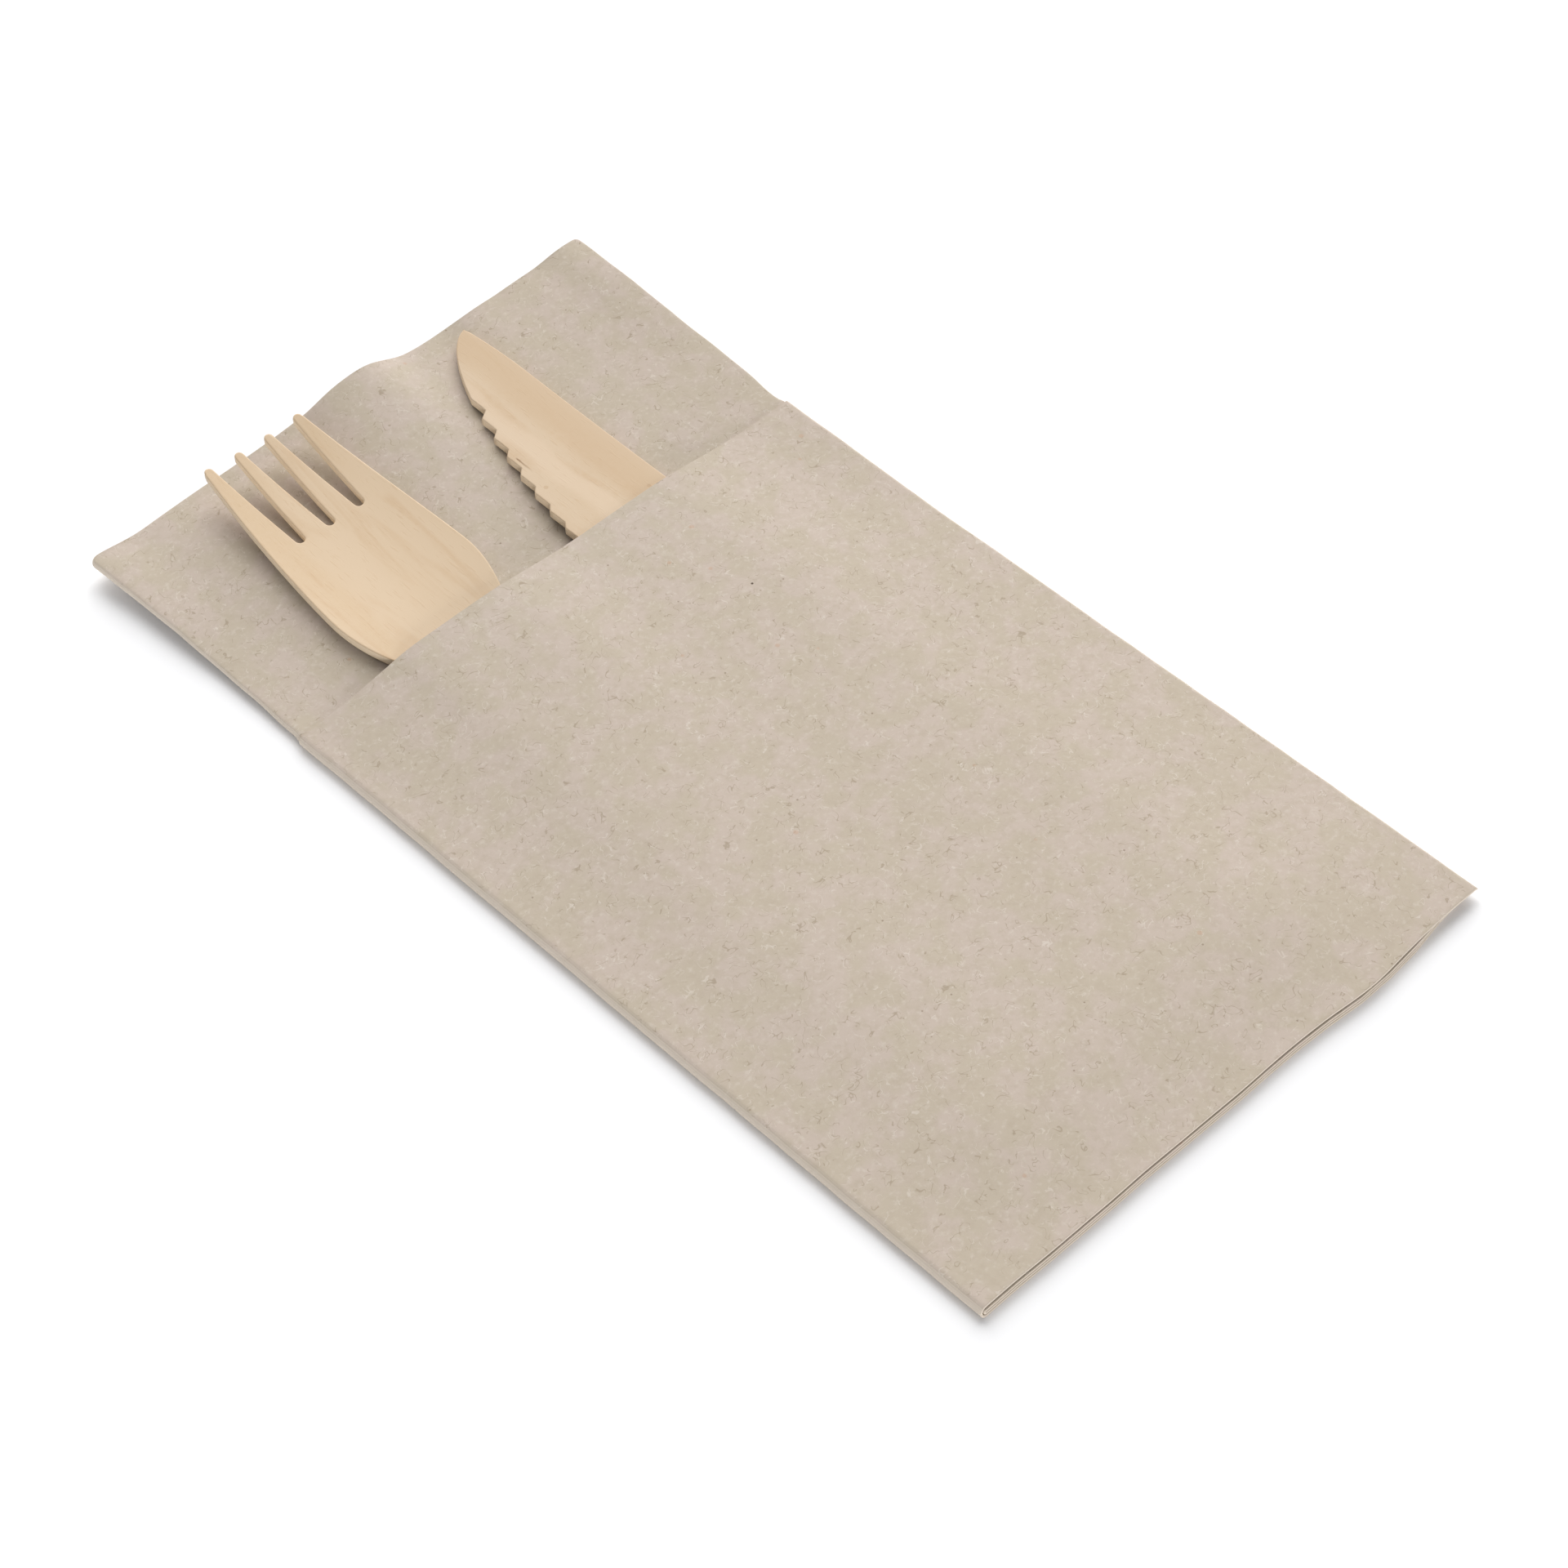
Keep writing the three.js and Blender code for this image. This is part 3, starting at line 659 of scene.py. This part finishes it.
def uneven_folds(px, py, pz, y):
    """The points again, with folds that ripple, lean, skew and bulge as those made by hand do."""
    size, seed, length = SIDE_RIPPLE
    side_wobble = size * ripple(px, py, seed, length)
    size, seed, length = BOTTOM_RIPPLE
    py = py + size * ripple(px, 0 * px, seed, length) * fading(np.abs(py), RIPPLE_REACH)
    from_side = np.minimum(np.abs(px), np.abs(px - PANEL_WIDTH))
    px = px + side_wobble * fading(from_side, RIPPLE_REACH)
    above = clamp01(pz / STACK_HEIGHT)
    py = py + BOTTOM_LEAN * above * fading(py, LEAN_REACH)
    in_pocket = 1 - smooth((y - LEFT_LEAN_END) / LEFT_LEAN_FADE)
    px = px + LEFT_LEAN * above * fading(px, LEAN_REACH) * in_pocket
    py = py + BOTTOM_SKEW * clamp01(1 - px / SKEW_ACROSS) * clamp01(1 - py / SKEW_ALONG)
    bulge = BOTTOM_BULGE * np.exp(-(((px - BULGE_PLACE) / BULGE_WIDTH) ** 2))
    py = py - bulge * fading(py, BULGE_REACH)
    lower = clamp01((RECESS_TOP - pz) / RECESS_FADE) * fading(py, RECESS_REACH)
    py = py + CORNER_RECESS * smooth((px - RECESS_START) / RECESS_RUN) * lower
    return px, py


def sheet_side(across, along, depth):
    """The grid of points of one face of the folded sheet."""
    fold, x, angle, y, turn = across + along
    px, py, pz = folded(fold, x, angle, y, turn, depth)
    px, py = uneven_folds(px, py, pz, y)
    flat_back = (fold < 2) & (angle > FLAT_ANGLE) & (turn < -FLAT_ANGLE) & (y > BACK_START)
    roof = under_cutlery(px, py) - PAPER_CLEARANCE - SHEET_THICKNESS / 2 - depth
    pz = np.where(flat_back, np.minimum(pz, roof), pz)
    return np.stack([px + LEFT_FOLD, py + BOTTOM_FOLD, pz], axis=-1)


def sheet_mesh(name, sides):
    """A closed mesh from the two faces' grids, joined by a wall round the raw edges."""
    shape = sides[0].shape[:2]
    count = shape[0] * shape[1]
    index = np.arange(count).reshape(shape)
    corners = [index[:-1, :-1], index[1:, :-1], index[1:, 1:], index[:-1, 1:]]
    quads = np.stack(corners, axis=-1).reshape(-1, 4)
    rim = np.concatenate([index[:, 0], index[-1, 1:], index[-2::-1, -1], index[0, -2:0:-1]])
    following = np.roll(rim, -1)
    walls = np.stack([rim, following, following + count, rim + count], axis=-1)
    faces = np.concatenate([quads[:, ::-1], quads + count, walls])
    points = np.concatenate([s.reshape(-1, 3) for s in sides]) * MM
    mesh = bpy.data.meshes.new(name)
    mesh.from_pydata(points.tolist(), [], faces.tolist())
    mesh.update()
    for polygon in mesh.polygons:
        polygon.use_smooth = True
    return mesh


def mark_raw_edges(mesh, count):
    """Keep the sheet's cut edges sharp: each bounds one face and the narrow wall beside it."""
    bm = bmesh.new()
    bm.from_mesh(mesh)
    bmesh.ops.recalc_face_normals(bm, faces=bm.faces[:])
    raw_edges = []
    for e in bm.edges:
        i, j = (v.index for v in e.verts)
        if (i < count) == (j < count) and len(e.link_faces) == 2:
            a, b = e.link_faces
            steep = abs(a.normal.dot(b.normal)) < SHARP_COSINE
            if steep and min(a.calc_area(), b.calc_area()) < RIM_AREA:
                raw_edges.append(e)
    for e in raw_edges:
        e.smooth = False
    bm.to_mesh(mesh)
    bm.free()


def make_napkin():
    across, along = stations_across(), stations_along()
    shape = (len(across), len(along))
    fold, x, angle = (np.broadcast_to(v[:, None], shape) for v in across.T)
    y, turn = (np.broadcast_to(v[None, :], shape) for v in along.T)
    depths = (SHEET_THICKNESS / 2, -SHEET_THICKNESS / 2)
    sides = [sheet_side((fold.astype(int), x, angle), (y, turn), depth) for depth in depths]
    mesh = sheet_mesh("napkin_sheet", sides)
    mark_raw_edges(mesh, shape[0] * shape[1])
    piece = bpy.data.objects.new("napkin_sheet", mesh)
    bpy.context.scene.collection.objects.link(piece)
    return piece


# Materials


class Nodes:
    """Short ways to add and join shader nodes."""

    def __init__(self, name):
        self.material = bpy.data.materials.new(name)
        self.material.use_nodes = True
        self.tree = self.material.node_tree
        self.shader = self.tree.nodes["Principled BSDF"]

    def add(self, kind, inputs=None, **settings):
        node = self.tree.nodes.new(kind)
        for key, value in settings.items():
            setattr(node, key, value)
        for key, value in (inputs or {}).items():
            if isinstance(value, bpy.types.NodeSocket):
                self.tree.links.new(value, node.inputs[key])
            else:
                node.inputs[key].default_value = value
        return node

    def math(self, operation, a, b=0.5):
        return self.add("ShaderNodeMath", {0: a, 1: b}, operation=operation).outputs[0]

    def product(self, a, b):
        return self.math("MULTIPLY", a, b)

    def span(self, value, low, high, to_low=0.0, to_high=1.0):
        limits = {0: value, 1: low, 2: high, 3: to_low, 4: to_high}
        node = self.add("ShaderNodeMapRange", limits, interpolation_type="SMOOTHSTEP")
        return node.outputs[0]

    def blend(self, factor, a, b):
        return self.add("ShaderNodeMix", {0: factor, 6: a, 7: b}, data_type="RGBA").outputs[2]

    def noise(self, vector, scale, detail=2.0, rough=0.5, distort=0.0):
        inputs = {"Vector": vector, "Scale": scale, "Detail": detail}
        inputs.update({"Roughness": rough, "Distortion": distort})
        return self.add("ShaderNodeTexNoise", inputs).outputs[0]

    def patches(self, vector, scale, detail, rough, distort, low, high, share):
        """A factor that rises from 0 to the share where a noise goes from low to high."""
        return self.span(self.noise(vector, scale, detail, rough, distort), low, high, 0.0, share)

    def moved(self, vector, location, scale=(1.0, 1.0, 1.0)):
        inputs = {"Vector": vector, "Location": location, "Scale": scale}
        return self.add("ShaderNodeMapping", inputs).outputs[0]

    def axis(self, vector, number):
        return self.add("ShaderNodeSeparateXYZ", {0: vector}).outputs[number]

    def walls(self, color, low, high, share, tone):
        """Blends in a tone where the surface is steep: on cut walls and round the folds. This is
        painted light for faces the lamps leave darker; on the wood it is partly the paler cut
        veneer too.
        """
        normal = self.add("ShaderNodeNewGeometry").outputs["True Normal"]
        level = self.math("ABSOLUTE", self.axis(normal, 2))
        return self.blend(self.span(level, low, high, share, 0.0), color, tone)

    def fibres(self, vector, scale, width, cut, shift):
        """Short curved strands: thin contour bands of one noise, kept where another is high."""
        place = self.moved(vector, (shift, -shift, 0.4 * shift))
        field = self.noise(place, scale, 1.0, 0.4, 0.6)
        off = self.math("ABSOLUTE", self.math("SUBTRACT", field, 0.5))
        band = self.span(off, 0.0, width, 1.0, 0.0)
        kept = self.span(self.noise(place, scale * 0.9, 1.0, 0.5), cut, cut + 0.05)
        return self.product(band, kept)

    def dots(self, vector, scale, radius, bound):
        """Small round specks in those cells whose random number is above the bound."""
        cells = self.add("ShaderNodeTexVoronoi", {"Vector": vector, "Scale": scale})
        chance = self.add("ShaderNodeSeparateColor", {0: cells.outputs["Color"]})
        rim = radius * scale
        near = self.span(cells.outputs["Distance"], rim * 0.6, rim, 1.0, 0.0)
        chosen = self.math("GREATER_THAN", chance.outputs[0], bound)
        return self.product(near, chosen)

    def surface(self, color, height, rough, specular, strength, distance):
        """Joins the colour and the bump to the shader, and sets its constants."""
        inputs = self.shader.inputs
        self.tree.links.new(color, inputs["Base Color"])
        inputs["Roughness"].default_value = rough
        inputs["Specular IOR Level"].default_value = specular
        relief = {"Height": height, "Strength": strength, "Distance": distance}
        self.tree.links.new(self.add("ShaderNodeBump", relief).outputs[0], inputs["Normal"])
        return self.material


def srgb(r, g, b):
    def linear(v):
        v /= 255
        return v / 12.92 if v <= 0.04045 else ((v + 0.055) / 1.055) ** 2.4
    return (linear(r), linear(g), linear(b), 1.0)


# Patches are (scale, detail, roughness, distortion, from, to, share).
TISSUE = srgb(193, 179, 167)
TISSUE_MOTTLE = (
    ((210, 2, 0.5, 0.0, 0.38, 0.62, 1.0), srgb(188, 176, 159)),
    ((700, 3, 0.65, 0.0, 0.4, 0.75, 0.55), srgb(180, 167, 150)),
    ((1100, 2, 0.6, 0.0, 0.5, 0.8, 0.5), srgb(206, 196, 184)),
)

# Fibres are (scale, width, cut, shift), with their share.
DARK_FIBRES = ((560, 0.02, 0.52, 3.1), 0.7, srgb(158, 143, 124))
LIGHT_FIBRES = ((620, 0.02, 0.54, 7.7), 0.5, srgb(214, 205, 194))

# Specks are (cells per metre, radius in metres, bound), with their share.
TISSUE_SPECKS = (
    ((170, 0.0003, 0.95), 0.9, srgb(78, 62, 50)),
    ((420, 0.0002, 0.86), 0.6, srgb(132, 114, 98)),
    ((260, 0.0005, 0.93), 0.3, srgb(190, 146, 118)),
)
KNIFE_FLECKS = ((330, 0.0005, 0.85), 0.35, srgb(176, 142, 104))

# The relief of the tissue, from a fine grain and the light fibres.
TISSUE_GRAIN = (900, 3, 0.6)
GRAIN_RELIEF = 0.6
FIBRE_RELIEF = 0.25

# Painted light on steep faces is (from, to, share, tone) over how level the surface is: all painted
# light on the tissue's folds and slopes, and on the wood's cut walls partly their paler wood,
# partly painted light.
TISSUE_PAINTED_FOLD_LIGHT = (0.6, 0.99, 0.85, srgb(226, 214, 199))
WOOD_CUT_WALLS_AND_PAINTED_LIGHT = (0.25, 0.75, 0.9, srgb(236, 217, 190))

# Wood has a base, a dark and a light tone; grain is drawn out along the piece.
FORK_TONES = (srgb(206, 181, 149), srgb(199, 170, 136), srgb(210, 187, 158))
KNIFE_TONES = (srgb(200, 176, 146), srgb(193, 164, 130), srgb(206, 185, 159))
FORK_GRAIN_OFFSET = (0.0, 0.0, 0.0)
KNIFE_GRAIN_OFFSET = (0.3, 0.1, 0.2)
GRAIN_STRETCH = (1.0, 0.12, 0.4)
PORE_STRETCH = (1.0, 0.1, 1.0)
YEARS = (95, 2, 0.45, 0.8, 0.35, 0.65, 1.0)
STREAKS = (240, 3, 0.55, 1.2, 0.5, 0.72, 0.55)
PORES = (2600, 2, 0.6, 0.0, 0.58, 0.7, 1.0)
PORE_SHARE = 0.35
CLOUDS = (900, 3, 0.7, 0.0, 0.35, 0.7, 0.3)

# Strips beside the knife's spine are distances from it in metres, with share and tone; the pale
# strip is a painted highlight along the blade's middle.
SPINE_STRIP = (0.008, 0.004, 0.6, srgb(194, 167, 135))
PAINTED_HIGHLIGHT_STRIP = (0.0135, 0.0115, 0.0095, 0.008, 0.6, srgb(212, 190, 164))
STRIP_WANDER = 0.006

# The split's sizes are in metres: how far it wavers, its dark core, its rim and its start.
SPLIT_WAVER = 0.0003
SPLIT_CORE = 0.00006
SPLIT_RIM = 0.00022
SPLIT_START = 0.0006
SPLIT_SHARE = 0.85
SPLIT_TONE = srgb(128, 92, 58)


def paper_material():
    """Unbleached recycled tissue: soft mottling, curved fibres, dark and reddish specks."""
    n = Nodes("recycled_tissue")
    place = n.add("ShaderNodeTexCoord").outputs["Object"]
    color = TISSUE
    for patch, tone in TISSUE_MOTTLE:
        color = n.blend(n.patches(place, *patch), color, tone)
    for strand, share, tone in (DARK_FIBRES, LIGHT_FIBRES):
        fibres = n.fibres(place, *strand)
        color = n.blend(n.product(fibres, share), color, tone)
    for speck, share, tone in TISSUE_SPECKS:
        color = n.blend(n.product(n.dots(place, *speck), share), color, tone)
    # painted light: the tissue is lightened where it is steep, round its folds and on its slopes
    color = n.walls(color, *TISSUE_PAINTED_FOLD_LIGHT)
    grain = n.product(n.noise(place, *TISSUE_GRAIN), GRAIN_RELIEF)
    relief = n.math("ADD", grain, n.product(fibres, FIBRE_RELIEF))
    return n.surface(color, relief, rough=0.95, specular=0.1, strength=0.25, distance=0.00012)


def wood_material(name, tones, offset, extra=None):
    """Birch veneer: pale, with faint curved year lines, short pores, and cut walls lighter partly
    from their paler wood and partly from painted light.
    """
    base, dark, light = tones
    n = Nodes(name)
    place = n.add("ShaderNodeTexCoord").outputs["Object"]
    along = n.moved(place, offset, GRAIN_STRETCH)
    color = n.blend(n.patches(along, *YEARS), base, light)
    color = n.blend(n.patches(along, *STREAKS), color, dark)
    pores = n.patches(n.moved(place, offset, PORE_STRETCH), *PORES)
    color = n.blend(n.product(pores, PORE_SHARE), color, dark)
    color = n.blend(n.patches(place, *CLOUDS), color, light)
    if extra:
        color = extra(n, place, color)
    # cut walls lightened: partly their paler wood, partly painted light where the lamps leave them
    # darker
    color = n.walls(color, *WOOD_CUT_WALLS_AND_PAINTED_LIGHT)
    return n.surface(color, pores, rough=0.6, specular=0.2, strength=0.2, distance=0.00005)


def knife_marks(n, place, color):
    """The knife's marks: a yellower strip along its spine, a painted highlight as a pale strip down
    the blade's middle, flecks, a split.
    """
    wander = n.product(n.math("SUBTRACT", n.noise(place, 60, 1), 0.5), STRIP_WANDER)
    across = n.math("ADD", n.axis(place, 0), wander)
    spine = (KNIFE_PLACE + LEFT_FOLD) * MM
    outer, inner, share, tone = SPINE_STRIP
    color = n.blend(n.span(across, spine - outer, spine - inner, 0.0, share), color, tone)
    # painted highlight: a pale band down the middle of the blade
    start, full, fall, end, share, tone = PAINTED_HIGHLIGHT_STRIP
    rising = n.span(across, spine - start, spine - full)
    falling = n.span(across, spine - fall, spine - end, 1, 0)
    color = n.blend(n.product(n.product(rising, falling), share), color, tone)
    speck, share, tone = KNIFE_FLECKS
    color = n.blend(n.product(n.dots(place, *speck), share), color, tone)
    corner = ((SPLIT_PLACE[0] + LEFT_FOLD) * MM, (SPLIT_PLACE[1] + BOTTOM_FOLD) * MM, 0.0)
    inputs = {"Vector": place, "Location": corner, "Rotation": (0, 0, SPLIT_ANGLE)}
    turned = n.add("ShaderNodeMapping", inputs, vector_type="TEXTURE").outputs[0]
    along, beside = n.axis(turned, 0), n.axis(turned, 1)
    uneven = n.product(n.noise(place, 900, 2), SPLIT_WAVER)
    off = n.math("ABSOLUTE", n.math("ADD", beside, uneven))
    line = n.span(off, SPLIT_CORE, SPLIT_RIM, 1, 0)
    ends = n.product(n.span(along, 0, SPLIT_START), n.span(along, SPLIT_LENGTH * MM, 0, 0, 1))
    return n.blend(n.product(n.product(line, ends), SPLIT_SHARE), color, SPLIT_TONE)


def floor_material():
    n = Nodes("white_floor")
    n.shader.inputs["Base Color"].default_value = (0.93, 0.93, 0.94, 1)
    n.shader.inputs["Roughness"].default_value = 1.0
    n.shader.inputs["Specular IOR Level"].default_value = 0.0
    return n.material


# Stage


def make_floor():
    bm = bmesh.new()
    reach = 4.0
    bmesh.ops.create_grid(bm, x_segments=8, y_segments=8, size=reach)
    mesh = bpy.data.meshes.new("floor")
    bm.to_mesh(mesh)
    bm.free()
    floor = bpy.data.objects.new("floor", mesh)
    bpy.context.scene.collection.objects.link(floor)
    mesh.materials.append(floor_material())


def make_light(name, azimuth, elevation, distance, size, power):
    """A square area light that looks at the pack; azimuth 0 is on its +Y side, 90 on +X."""
    a, e = math.radians(azimuth), math.radians(elevation)
    way = Vector((math.sin(a) * math.cos(e), math.cos(a) * math.cos(e), math.sin(e)))
    data = bpy.data.lights.new(name, "AREA")
    data.shape, data.size, data.energy = "SQUARE", size, power
    light = bpy.data.objects.new(name, data)
    light.location = way * distance
    light.rotation_mode = "QUATERNION"
    light.rotation_quaternion = way.to_track_quat("Z", "Y")
    light.visible_camera = False
    bpy.context.scene.collection.objects.link(light)


def make_world(strength):
    world = bpy.data.worlds.new("studio")
    bpy.context.scene.world = world
    world.use_nodes = True
    sky = world.node_tree.nodes["Background"]
    sky.inputs["Color"].default_value = (1, 1, 1, 1)
    sky.inputs["Strength"].default_value = strength


make_camera()

napkin = make_napkin()
napkin.data.materials.append(paper_material())
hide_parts("napkin")
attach(napkin, "root")

fork = plate("fork_veneer", fork_outline(), fork_rise, FORK_EASE, FORK_TILT, place_of_fork())
fork.data.materials.append(wood_material("fork_birch", FORK_TONES, FORK_GRAIN_OFFSET))
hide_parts("fork")
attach(fork, "root")

knife = plate("knife_veneer", knife_outline(), knife_rise, KNIFE_EASE, KNIFE_TILT, place_of_knife())
knife_wood = wood_material("knife_birch", KNIFE_TONES, KNIFE_GRAIN_OFFSET, knife_marks)
knife.data.materials.append(knife_wood)
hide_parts("knife")
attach(knife, "root")

make_floor()
make_light("key_light", azimuth=43, elevation=32, distance=6.0, size=6.5, power=690)
make_light("fill_light", azimuth=-156, elevation=11, distance=5.0, size=1.8, power=120)
make_world(strength=0.338)
bpy.context.scene.view_settings.view_transform = "Standard"
